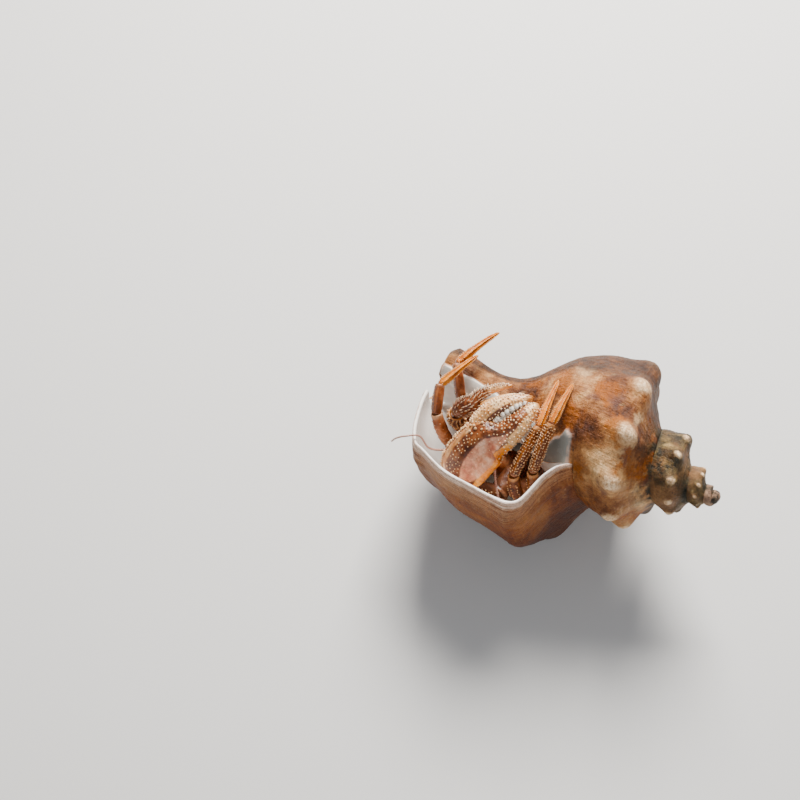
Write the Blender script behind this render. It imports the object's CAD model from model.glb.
import math
import random

import bmesh
import bpy
import numpy as np
from mathutils import Matrix, Vector, noise
from mathutils.bvhtree import BVHTree


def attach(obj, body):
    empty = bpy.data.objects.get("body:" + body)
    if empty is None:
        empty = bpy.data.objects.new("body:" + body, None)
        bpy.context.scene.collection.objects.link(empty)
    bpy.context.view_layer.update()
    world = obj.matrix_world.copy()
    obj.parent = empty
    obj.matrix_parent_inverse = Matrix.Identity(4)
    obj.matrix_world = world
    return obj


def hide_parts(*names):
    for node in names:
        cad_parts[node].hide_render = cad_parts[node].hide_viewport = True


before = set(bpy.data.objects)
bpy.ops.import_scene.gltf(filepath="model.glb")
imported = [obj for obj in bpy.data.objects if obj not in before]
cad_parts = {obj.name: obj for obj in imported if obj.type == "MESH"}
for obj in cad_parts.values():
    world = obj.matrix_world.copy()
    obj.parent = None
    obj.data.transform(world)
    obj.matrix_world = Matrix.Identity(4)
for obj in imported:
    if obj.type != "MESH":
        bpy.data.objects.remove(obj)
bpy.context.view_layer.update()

mm = 0.001
chance = random.Random(7)

# how the shell lies, the same as in the solids
lie = {"spireRise": 8.5, "mouthTurn": 27.0, "lipTurn": 43.0, "spireTip": 1.0, "canalBend": 3.0, "canalBendFrom": 76.0}
rise = math.radians(lie["spireRise"])
mouth = math.radians(lie["mouthTurn"])
lipAngle = math.radians(lie["lipTurn"])
axisWay = Vector((math.cos(rise), 0, math.sin(rise)))
uprightWay = Vector((-math.sin(rise), 0, math.cos(rise)))
sideWay = Vector((0, -1, 0))
outWay = uprightWay * math.cos(mouth) + sideWay * math.sin(mouth)
asideWay = sideWay * math.cos(mouth) - uprightWay * math.sin(mouth)
shellTip = max((v.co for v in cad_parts["shell"].data.vertices), key=lambda co: co.x)
spiralStart = shellTip + axisWay * (lie["spireTip"] * mm)
mouthAxes = np.array([-axisWay, asideWay, outWay])


def smoothStep(x):
    x = np.clip(x, 0.0, 1.0)
    return x * x * (3 - 2 * x)


def above(x, start, width):
    # 0 up to start, then a soft rise to 1 over the width
    return smoothStep((x - start) / width)


def below(x, end, width):
    # a soft fall from 1 to 0 that ends at end
    return smoothStep((end - x) / width)


def hump(x, middle, width):
    return np.exp(-((x - middle) / width) ** 2)


def place(along, aside, out):
    # millimetres along the shell from its tip, aside towards the lip, out of the mouth
    return spiralStart + (axisWay * -along + asideWay * aside + outWay * out) * mm


def roundAxis(radius, along, turn):
    # the same for arrays of radius, along and whorls back from the lip: an array of points
    angle = lipAngle - 2 * math.pi * turn
    bend = lie["canalBend"] * above(along, lie["canalBendFrom"], shellShape["length"] - lie["canalBendFrom"])
    local = np.stack([along + 0 * turn, radius * np.sin(angle) - bend, radius * np.cos(angle)], -1)
    return np.array(spiralStart) + local @ mouthAxes * mm


def curveThrough(points, places):
    # points on a smooth curve through the given ones; places count in steps from point to point
    points = np.asarray(points, float)
    last = len(points) - 1
    i = np.clip(np.floor(places).astype(int), 0, last - 1)
    f = (places - i)[:, None]
    a, b, c, d = (points[np.clip(i + k, 0, last)] for k in (-1, 0, 1, 2))
    return 0.5 * (2 * b + (c - a) * f + (2 * a - 5 * b + 4 * c - d) * f ** 2 + (3 * b - a - 3 * c + d) * f ** 3)


def addObject(name, data):
    thing = bpy.data.objects.new(name, data)
    bpy.context.scene.collection.objects.link(thing)
    return thing


# short ways to add shader nodes; they go into the finish that was started last
def plug(socket, value):
    # a socket takes another node's output, a colour or a number
    if isinstance(value, bpy.types.NodeSocket):
        tree.links.new(value, socket)
    elif socket.type == "RGBA":
        socket.default_value = (*value[:3], 1)
    else:
        socket.default_value = value


def addNode(kind, sockets, **settings):
    node = tree.nodes.new("ShaderNode" + kind)
    for name, value in settings.items():
        setattr(node, name, value)
    for socket, value in sockets.items():
        plug(node.inputs[socket], value)
    return node.outputs


def newFinish(name, roughness, coat=0.0):
    global tree
    finish = bpy.data.materials.new(name)
    finish.use_nodes = True
    tree = finish.node_tree
    shader = tree.nodes["Principled BSDF"]
    shader.inputs["Roughness"].default_value = roughness
    shader.inputs["Coat Weight"].default_value = coat
    shader.inputs["Coat Roughness"].default_value = 0.12
    return finish, shader


def mottle(scale, detail=4.0, rough=0.55, shift=0.0, where=None):
    # soft noise, about 0.3 to 0.7; scale counts blotches to the metre
    where = where or addNode("TexCoord", {})["Object"]
    sockets = {"W": shift, "Scale": scale, "Detail": detail, "Roughness": rough, "Vector": where}
    return addNode("TexNoise", sockets, noise_dimensions="4D")["Fac"]


def pits(scale):
    # distance to the nearest of scattered points, for small pores and grains
    return addNode("TexVoronoi", {"Scale": scale, "Vector": addNode("TexCoord", {})["Object"]})["Distance"]


def remap(value, *ends, **settings):
    sockets = dict(zip(("From Min", "From Max", "To Min", "To Max"), ends))
    return addNode("MapRange", {"Value": value, **sockets}, **settings)["Result"]


def fade(value, low, high):
    # 0 below low, 1 above high, and the other way round where low is above high
    ends = (low, high, 0.0, 1.0) if low < high else (high, low, 1.0, 0.0)
    return remap(value, *ends, interpolation_type="SMOOTHSTEP")


def plus(a, b):
    return addNode("Math", {0: a, 1: b}, operation="ADD")[0]


def minus(a, b):
    return addNode("Math", {0: a, 1: b}, operation="SUBTRACT")[0]


def times(a, b):
    return addNode("Math", {0: a, 1: b}, operation="MULTIPLY")[0]


def shades(value, *stops):
    # a colour ramp from (position, colour) pairs
    ramp = tree.nodes.new("ShaderNodeValToRGB")
    plug(ramp.inputs["Fac"], value)
    points = ramp.color_ramp.elements
    for i, (position, colour) in enumerate(stops):
        point = points[i] if i < 2 else points.new(position)
        point.position = position
        point.color = (*colour, 1)
    return ramp.outputs["Color"]


def over(amount, under, top, kind="MIX"):
    # one colour laid over another
    return addNode("Mix", {0: amount, 6: under, 7: top}, data_type="RGBA", blend_type=kind)[2]


def patches(colour, spots, low, high, strength, top):
    # soft patches of one colour on another
    return over(times(fade(spots, low, high), strength), colour, top)


def darken(colour, value, low, high):
    # a colour times low to high as value goes 0.3 to 0.7
    return over(1.0, colour, remap(value, 0.3, 0.7, low, high), "MULTIPLY")


def deepen(colour, power):
    return addNode("Gamma", {"Color": colour, "Gamma": power})["Color"]


def richer(colour, amount):
    return addNode("HueSaturation", {"Saturation": amount, "Color": colour})["Color"]


def trait(name):
    # a value stored on the piece's own points
    return addNode("Attribute", {}, attribute_name=name)["Fac"]


def dress(shader, sockets, *layers):
    # the shader's sockets, then bumps on one another, each (height, millimetres, strength)
    for socket, value in sockets.items():
        plug(shader.inputs[socket], value)
    normal = None
    for height, depth, strength in layers:
        bump = {"Height": height, "Distance": depth * mm, "Strength": strength}
        if normal:
            bump["Normal"] = normal
        normal = addNode("Bump", bump)["Normal"]
    plug(shader.inputs["Normal"], normal)


def giveTraits(piece, **traits):
    for name, values in traits.items():
        layer = piece.data.attributes.new(name, "FLOAT", "POINT")
        layer.data.foreach_set("value", np.asarray(values, np.float32))


def settle(piece, slot, finish, *nodes):
    # the piece's finish, its body, its slot and the solids it stands for
    piece.data.materials.clear()
    piece.data.materials.append(finish)
    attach(piece, "root")
    if nodes:
        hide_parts(*nodes)


# camera: it looks down into the mouth, a little off its out direction; offCentre holds the slopes aside and upwards
view = {
    "towards": (0.238, 0.971), "roll": 25.1, "distance": 0.56, "lens": 75.0, "sensor": 36,
    "aim": (54.0, 4.0, 8.0), "offCentre": (0.099, -0.0252),
}
towards = (axisWay * view["towards"][0] + outWay * view["towards"][1]).normalized()
axisSeen = (axisWay - towards * axisWay.dot(towards)).normalized()
roll = math.radians(view["roll"])
rightWay = (axisSeen * math.cos(roll) + towards.cross(axisSeen) * math.sin(roll)).normalized()
straight = Matrix((rightWay, towards.cross(rightWay), towards)).transposed()
seen = Vector((*view["offCentre"], -1)).normalized()
turnAside = seen.rotation_difference(Vector((0, 0, -1))).to_matrix()
camera = addObject("camera", bpy.data.cameras.new("camera"))
camera.data.lens = view["lens"]
camera.data.sensor_width = view["sensor"]
camera.data.clip_start = 0.01
stand = place(*view["aim"]) + towards * view["distance"]
camera.matrix_world = Matrix.Translation(stand) @ (straight @ turnAside).to_4x4()
bpy.context.scene.camera = camera

# studio: a window high behind, a weak lamp in front and a pale floor
lamps = {
    "window": {"at": (-0.22, 0.46, 0.52), "size": 0.32, "power": 17.5, "colour": (1.0, 0.97, 0.93)},
    "fill": {"at": (0.35, -0.5, 0.45), "size": 0.6, "power": 1.8, "colour": (0.93, 0.96, 1.0)},
}
studio = {"sky": (0.9, 0.93, 1.0), "skyStrength": 0.26, "floor": (0.72, 0.71, 0.69), "lampsAimAt": (0, 0, 0.03)}
for name, settings in lamps.items():
    lamp = addObject(name, bpy.data.lights.new(name, "AREA"))
    lamp.data.size = settings["size"]
    lamp.data.energy = settings["power"]
    lamp.data.color = settings["colour"]
    lamp.location = settings["at"]
    lamp.rotation_euler = (Vector(studio["lampsAimAt"]) - lamp.location).to_track_quat("-Z", "Y").to_euler()
world = bpy.data.worlds.new("studio")
bpy.context.scene.world = world
world.use_nodes = True
sky = world.node_tree.nodes["Background"].inputs
sky["Color"].default_value = (*studio["sky"], 1)
sky["Strength"].default_value = studio["skyStrength"]
bpy.ops.object.select_all(action="DESELECT")
bpy.ops.mesh.primitive_plane_add(size=4, location=(0, 0, 0))
floor = bpy.context.object
floor.name = "floor"
floorFinish, shader = newFinish("floor_finish", 0.8)
plug(shader.inputs["Base Color"], studio["floor"])
floor.data.materials.append(floorFinish)
print("camera, lamps and floor done")


# the whelk shell
shellShape = {
    "growth": 2.04, "length": 105.0, "whorls": 4.9, "stepsPerWhorl": 240, "stripColumns": 44, "baseColumns": 36,
    "flare": -0.03, "knobs": 9.5, "firstKnob": -0.733, "knobHeight": 5.4, "knobWidth": 0.2, "knobPlace": 2.55,
    "keel": 1.4, "lipReach": 0.048, "lipWall": 1.3, "deepWall": 2.5, "glaze": 1.9, "glazeTurn": 0.1,
    "canalGlaze": 0.05, "hollowEnd": -0.9, "hollowLoops": 60, "hollowCounts": (28, 48, 10), "canalTurn": 0.12,
    "columellaGlaze": 0.9, "rimBulges": (0.55, 0.5, 0.25, 0.3), "dorsalMiddle": -145.0, "dorsalHalf": 96.0,
    "foldsPerWhorl": (46, 83), "foldHeight": 0.07, "ledgesPerWhorl": 19, "ledgeHeight": 0.42, "cordHeight": 0.5,
    "dents": ((70, 0.7), (190, 0.34), (520, 0.12)),  # to the metre, millimetres
}
# (radius, along) of one whorl from suture to the next, at the lip's size, then of the base at four places
stripOutline = ((21.0, 44.5), (32.0, 51.0), (43.5, 58.0), (46.0, 65.0), (45.8, 74.0), (45.0, 83.0))
lipShift = (0.0, -1.0, -3.5, -3.8, -2.0, -0.5)  # the lip's shoulder sits nearer the spire than the spiral's
baseOutlines = (
    (-1.00, ((19.6, 51.0), (17.0, 58.0), (12.3, 66.0), (8.9, 76.0), (6.7, 90.0), (5.4, 103.5))),
    (-0.63, ((24.8, 62.5), (19.0, 68.5), (12.0, 74.5), (8.0, 82.0), (6.6, 92.0), (7.0, 104.0))),
    (-0.25, ((33.0, 80.0), (27.0, 85.5), (20.0, 91.0), (14.5, 96.0), (11.0, 100.5), (9.5, 104.5))),
    (0.00, ((40.5, 95.0), (35.5, 98.5), (30.0, 101.0), (24.5, 103.0), (20.0, 104.3), (16.5, 105.0))),
)
innerLip = (
    (21.1, 46.0), (20.9, 48.3), (20.2, 51.5), (18.8, 55.5), (16.6, 60.0), (14.0, 65.0), (11.6, 71.0), (9.6, 78.0),
    (8.1, 85.0), (7.1, 92.0), (6.2, 98.5), (5.6, 104.0),
)


def shellOutline(turn):
    # 13 control points: six of the strip, the joint with the next whorl, six of the base
    s = shellShape
    size = s["growth"] ** turn
    lower = s["growth"] ** (turn + 1)
    flare = s["flare"] * above(turn, -0.35, 0.35)
    ahead = above(turn, -0.3, 0.3)
    points = []
    for k, ((radius, along), shift) in enumerate(zip(stripOutline, lipShift)):
        points.append((size * radius * (1 + flare * min(k / 2, 1)), size * along + ahead * shift))
    radius, along = stripOutline[0]
    points.append((lower * radius * (1 + flare), lower * along))
    shrink = min(lower, 1.0)
    clipped = max(turn, -1.0)
    for (start, low), (end, high) in zip(baseOutlines, baseOutlines[1:]):
        if clipped <= end:
            break
    low, high = np.array(low), np.array(high)
    return np.vstack([points, shrink * (low + (high - low) * above(clipped, start, end - start))])


def setAside(points, by):
    # an outline moved square to its own run, in millimetres
    run = np.gradient(points, axis=0)
    run /= np.linalg.norm(run, axis=1)[:, None]
    return np.stack([points[:, 0] - run[:, 1] * by, points[:, 1] + run[:, 0] * by], 1)


def insideOutline(turn, places):
    # the wall's inner face, for the same places on the outline
    s = shellShape
    wall = s["lipWall"] + (s["deepWall"] - s["lipWall"]) * smoothStep(-turn / 0.2)
    return setAside(curveThrough(shellOutline(turn), places), wall * smoothStep((places - 0.4) / 1.6 + 0.5))


def knobAmount(turns, places):
    # the shoulder's knobs and the low rib under each: height, and how much of it is the knob itself
    s = shellShape
    phase = s["knobs"] * (turns - s["firstKnob"])
    number = np.round(phase)
    tall = 0.82 + 0.36 * np.abs(np.sin(number * 2.4 + 0.6))
    middle = s["knobPlace"] + 0.16 * np.sin(number * 1.7)
    inTurn = hump(phase, number, s["knobWidth"])
    knob = inTurn * hump(places, middle, 0.78)
    swell = hump(phase, number, 0.33) * hump(places, middle + 0.3, 1.5)
    rib = hump(phase, number, 0.26) * above(places, 1.2, 1.2) * below(places, 6.0, 2.8)
    shown = above(turns, -4.2, 0.9) * (0.16 + 0.84 * below(turns, -0.15, 0.1)) * below(turns, -0.015, 0.06)
    return (0.62 * tall * knob + 0.42 * swell + 0.14 * rib) * shown, knob * shown


def lipAdvance(turn, across):
    # close to the suture the lip reaches further round than at the shoulder, in whorls
    s = shellShape
    beside = below(across, 2.1, 1.9) ** 1.3 * above(turn, -0.17, 0.17)
    under = below(across, 8.2, 2.2) * below(turn, -0.76, 0.24) * (across >= 6)
    return s["lipReach"] * (beside + under)


def glazedMask(turn, across):
    s = shellShape
    edge = s["glazeTurn"] * (0.9 + 0.12 * np.sin(across * 3.1) + 0.06 * np.sin(across * 9.7))
    edge = edge + s["canalGlaze"] * above(across, 8.6, 1.6)
    return smoothStep((-1 + edge - turn) / (s["glazeTurn"] * 0.22)) * above(across, 6.0, 0.3)


def sculptShell(grid, turns, places):
    # knobs, keel, growth folds, cords and dents pushed out of the plain spiral
    s = shellShape
    alongTurn = np.gradient(grid, axis=0)
    acrossTurn = np.gradient(grid, axis=1)
    outward = np.cross(alongTurn, acrossTurn)
    outward /= np.linalg.norm(outward, axis=2)[:, :, None] + 1e-12
    if (outward * (grid - grid.mean(axis=1)[:, None, :])).sum() < 0:
        outward = -outward
    t = turns[:, None]
    p = places[None, :]
    size = s["growth"] ** t
    height, knob = knobAmount(t, p)
    raised = s["knobHeight"] * size * height
    # hollow above the shoulder, swollen below the knobs, keeled at the lip and raised at the suture
    raised -= 0.5 * size * hump(p, 1.3, 0.8) * below(t, -0.3, 0.1)
    raised += 0.5 * size * np.sin(np.pi * np.clip(p - 3.2, 0, 2.8) / 2.8) ** 2 * below(t, -0.02, 0.2)
    nearLip = above(t, -0.22, 0.14)
    raised += s["keel"] * nearLip * (np.exp(-np.abs((p - 2.6) / 0.42) ** 1.4) - 0.15 * hump(p, 1.2, 0.9))
    raised += 0.5 * size * hump(p, 0, 0.4)
    wander = 0.25 * np.sin(p * 1.7) + 0.12 * np.sin(p * 4.3)
    coarse, fine = s["foldsPerWhorl"]
    folds = np.sin(2 * np.pi * (t * coarse + wander)) + 0.6 * np.sin(2 * np.pi * (t * fine + 1.2 * wander))
    raised += (s["foldHeight"] - 0.02 * nearLip) * size * folds
    ledges = np.maximum(np.sin(2 * np.pi * (t * s["ledgesPerWhorl"] + 0.4 * wander)), 0) ** 2
    raised += s["ledgeHeight"] * ledges * above(t, -0.16, 0.1) * (0.5 + hump(p, 2.4, 1.2))
    cords = np.sin(2 * np.pi * p * 2.6) * below(t, -1.1, 0.8) * 0.55 + np.sin(2 * np.pi * p * 3.4) * 0.1
    raised += s["cordHeight"] * size * cords
    raised += 1.1 * below(t, -3.75, 0.6)  # the blunt first whorls
    dents = np.zeros_like(raised)
    for i in range(len(turns)):
        for k in range(len(places)):
            co = Vector(grid[i, k])
            dents[i, k] = sum(noise.noise(co * scale) * depth for scale, depth in s["dents"])
    raised += dents * np.clip(size * 1.3, 0.2, 1.0) * (1 - 0.75 * above(t, -0.5, 0.25))
    # the glaze beside the mouth lies over the old whorl and smooths it
    glazed = glazedMask(t, p) * (t >= -1.0001)
    raised = raised * (1 - glazed) + s["glaze"] * 0.75 * glazed
    raised *= smoothStep((len(turns) - 1 - np.arange(len(turns)))[:, None] / 6.0) * 0.6 + 0.4
    return grid + outward * (raised * mm)[:, :, None], np.clip(knob, 0, 1)


def faceOutwards(mesh):
    # turns the faces outwards and counts the edges that aren't shared by two of them
    shape = bmesh.new()
    shape.from_mesh(mesh)
    bmesh.ops.recalc_face_normals(shape, faces=shape.faces)
    unshared = sum(len(edge.link_faces) != 2 for edge in shape.edges)
    shape.to_mesh(mesh)
    shape.free()
    return unshared


def makeWhelkShell():
    s = shellShape
    steps = s["stepsPerWhorl"]
    rows = int(s["whorls"] * steps) + 1
    turns = (np.arange(rows) - (rows - 1)) / steps
    wide = s["stripColumns"]
    places = np.concatenate([np.linspace(0, 6, wide + 1), np.linspace(6, 12, s["baseColumns"] + 1)[1:]])
    grid = np.zeros((rows, len(places), 3))
    for i, turn in enumerate(turns):
        ahead = lipAdvance(turn, places)
        outline = curveThrough(shellOutline(turn), places) * (s["growth"] ** ahead)[:, None]
        grid[i] = roundAxis(*outline.T, turn + ahead)
    grid, knobs = sculptShell(grid, turns, places)

    verts = []
    info = []  # for each: inside, knob, turn, across
    faces = []
    lines = []  # a (turn, across) pair for each corner

    def addVert(co, inside, knob, turn, across=0):
        verts.append(tuple(co))
        info.append((inside, knob, turn, across))
        return len(verts) - 1

    def addFace(corners, drawn=None):
        faces.append(tuple(int(v) for v in corners))
        lines.append(drawn or [(0, 0)] * len(corners))

    def closeRing(ring, middle, drawn=(0, 0)):
        for a, b in zip(ring, ring[1:] + ring[:1]):
            addFace((a, b, middle), [drawn] * 3)

    def joinRings(near, far):
        for corners in zip(near, near[1:] + near[:1], far[1:] + far[:1], far):
            addFace(corners)

    def flat(parts):
        return [v for part in parts for v in part]

    whole = rows - 1 - steps
    index = -np.ones((rows, len(places)), int)
    for i in range(rows):
        for k in range(wide):
            index[i, k] = addVert(grid[i, k], 0, knobs[i, k], turns[i], places[k])
    for i in range(rows):
        if i <= whole:
            index[i, wide] = index[i + steps, 0]
        else:
            index[i, wide] = addVert(grid[i, wide], 0, 0, turns[i], places[wide])
        if i >= whole:
            for k in range(wide + 1, len(places)):
                index[i, k] = addVert(grid[i, k], glazedMask(turns[i], places[k]), 0, turns[i], places[k])
    for i in range(rows - 1):
        for k in range(len(places) - 1 if i >= whole else wide):
            square = [(i, k), (i + 1, k), (i + 1, k + 1), (i, k + 1)]
            addFace([index[spot] for spot in square], [(turns[a], places[b]) for a, b in square])
    tip = addVert(shellTip, 0, 0, turns[0])
    closeRing(list(index[:steps + 1, 0]) + list(index[0, wide - 1:0:-1]), tip, (turns[0], 0))

    # four edges round the mouth: the outer lip, the canal's end, the old whorl and the corner at the suture
    startColumn = int(np.searchsorted(places, 0.5))
    lipPlaces = places[startColumn:]
    lipEdge = list(index[-1, startColumn:])
    canalEdge = list(index[whole:, -1][::-1])
    oldEdge = list(index[whole, wide:][::-1])
    cornerEdge = list(index[-1, :startColumn + 1])

    # loops of the hollow: down the wall, across the canal, up the columella, over the corner
    columella = setAside(np.array(innerLip), -s["columellaGlaze"])
    between, upwards, backUp = (np.linspace(0, 1, count) for count in s["hollowCounts"])
    between, backUp = between[1:-1], backUp[1:-1]
    sag = np.sin(np.pi * between)
    loopIds = []
    for j in range(s["hollowLoops"] + 1):
        turn = s["hollowEnd"] * (j / s["hollowLoops"]) ** 1.25
        size = s["growth"] ** turn
        reach = 1 - 0.42 * smoothStep(-turn / 0.45)
        wallPlaces = lipPlaces[0] + (lipPlaces - lipPlaces[0]) * reach
        wallAhead = lipAdvance(turn, wallPlaces)
        wall = insideOutline(turn, wallPlaces) * (s["growth"] ** wallAhead)[:, None]
        innerAhead = wallAhead[0] * above(upwards, 0.72, 0.28)
        inner = curveThrough(columella * size, (len(innerLip) - 1) * reach * (1 - upwards))
        inner *= (s["growth"] ** innerAhead)[:, None]
        canal = wall[-1] + (inner[0] - wall[-1]) * between[:, None]
        canal[:, 1] -= 0.5 * sag
        corner = inner[-1] + (wall[0] - inner[-1]) * backUp[:, None]
        corner[:, 1] += 0.2 * size * np.sin(np.pi * backUp)
        canalAhead = -max(s["canalTurn"] + turn, 0) * sag ** 0.7
        loop = []
        for line, ahead in ((wall, wallAhead), (canal, canalAhead), (inner, innerAhead), (corner, wallAhead[0])):
            loop.append([addVert(co, 1, 0, turn) for co in roundAxis(*line.T, turn + ahead)])
        loopIds.append(loop)
    for near, far in zip(loopIds, loopIds[1:]):
        joinRings(flat(near), flat(far))
    deepest = flat(loopIds[-1])
    closeRing(deepest, addVert(np.mean([verts[v] for v in deepest], axis=0), 1, 0, s["hollowEnd"]))

    # a ring just inside the four edges, with the hollow's own counts, and the rounded rim between
    forward = np.array(outWay * math.sin(lipAngle) - asideWay * math.cos(lipAngle))
    ways = (forward, -np.array(axisWay), forward, forward)
    outerRing = [lipEdge]
    for edge, inner, way in zip((canalEdge, oldEdge, cornerEdge), loopIds[0][1:], ways[1:]):
        chain = []
        points = np.array([verts[v] for v in edge])
        proud = way * (1.6 if edge is canalEdge else 0.05) * mm  # the canal's end is the thickest
        for spot, target in zip(np.linspace(0, len(edge) - 1, len(inner) + 2)[1:-1], inner):
            i = min(int(spot), len(edge) - 2)
            co = points[i] + (points[i + 1] - points[i]) * (spot - i)
            co = co + (np.array(verts[target]) - co) * 0.08 + proud
            chain.append(addVert(co, 0.3, 0, info[edge[i]][2] - 0.02, info[edge[i]][3]))
        outerRing.append(chain)
    rings = [flat(outerRing)]
    bulges = flat([way * bulge * mm] * len(part) for way, bulge, part in zip(ways, s["rimBulges"], loopIds[0]))
    atCanal = flat([part is loopIds[0][1]] * len(part) for part in loopIds[0])
    for w in (0.2, 0.4, 0.6, 0.8):
        ring = []
        for a, b, bulge, worn in zip(rings[0], flat(loopIds[0]), bulges, atCanal):
            co = np.array(verts[a]) * (1 - w) + np.array(verts[b]) * w + bulge * math.sin(math.pi * w) ** 0.7
            white = above(w, 0.45, 0.5) if worn else 0.5 + 0.5 * smoothStep(w / 0.5)
            ring.append(addVert(co, white, 0, -0.5 * worn, 12 * worn))
        rings.append(ring)
    rings.append(flat(loopIds[0]))
    for near, far in zip(rings, rings[1:]):
        joinRings(near, far)

    def stitch(a, b):
        # triangles between two open chains with different numbers of points
        i = j = 0
        while i < len(a) - 1 or j < len(b) - 1:
            nextA = (i + 1) / (len(a) - 1) if i < len(a) - 1 else 9
            nextB = (j + 1) / (len(b) - 1) if j < len(b) - 1 else 9
            if nextA <= nextB:
                face = (a[i], a[i + 1], b[j])
                i += 1
            else:
                face = (a[i], b[j + 1], b[j])
                j += 1
            if len(set(face)) == 3:
                addFace(face, [info[v][2:] for v in face])

    stitch(canalEdge, [lipEdge[-1]] + outerRing[1] + [outerRing[2][0]])
    stitch(oldEdge, outerRing[2] + [outerRing[3][0]])
    stitch(cornerEdge, outerRing[3] + [lipEdge[0]])

    mesh = bpy.data.meshes.new("whelk_shell")
    placed = np.array(verts)
    placed[:, 2] = np.maximum(placed[:, 2], 0.0)  # it stands on flats worn into its lowest knobs
    mesh.from_pydata(placed.tolist(), [], faces)
    shell = addObject("whelk_shell", mesh)
    uv = mesh.uv_layers.new(name="shellLines")
    uv.data.foreach_set("uv", [value for face in lines for turn, across in face for value in (turn * 10, across)])
    # how much of each point is on the dull band along the back, and in the grooves between whorls
    inside, knob, turn, across = np.array(info, float).T
    local = (placed - np.array(spiralStart)) @ mouthAxes.T
    angle = np.degrees(np.arctan2(local[:, 1], local[:, 2]))
    off = np.abs((angle - s["dorsalMiddle"] + 180) % 360 - 180)
    dorsal = below(off, s["dorsalHalf"], 12.0) * (turn > -1.6)
    groove = hump(across, 0, 0.9) + hump(across, 6, 0.5) * below(turn, -1.0, 0.1)
    groove = groove * below(turn, -0.35, 0.5) * (inside < 0.5)
    giveTraits(shell, inside=inside, knob=knob, turn=turn, dorsal=dorsal, groove=groove)
    print("shell: open or shared edges", faceOutwards(mesh), "faces", len(mesh.polygons))
    mesh.shade_smooth()
    return shell


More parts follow.
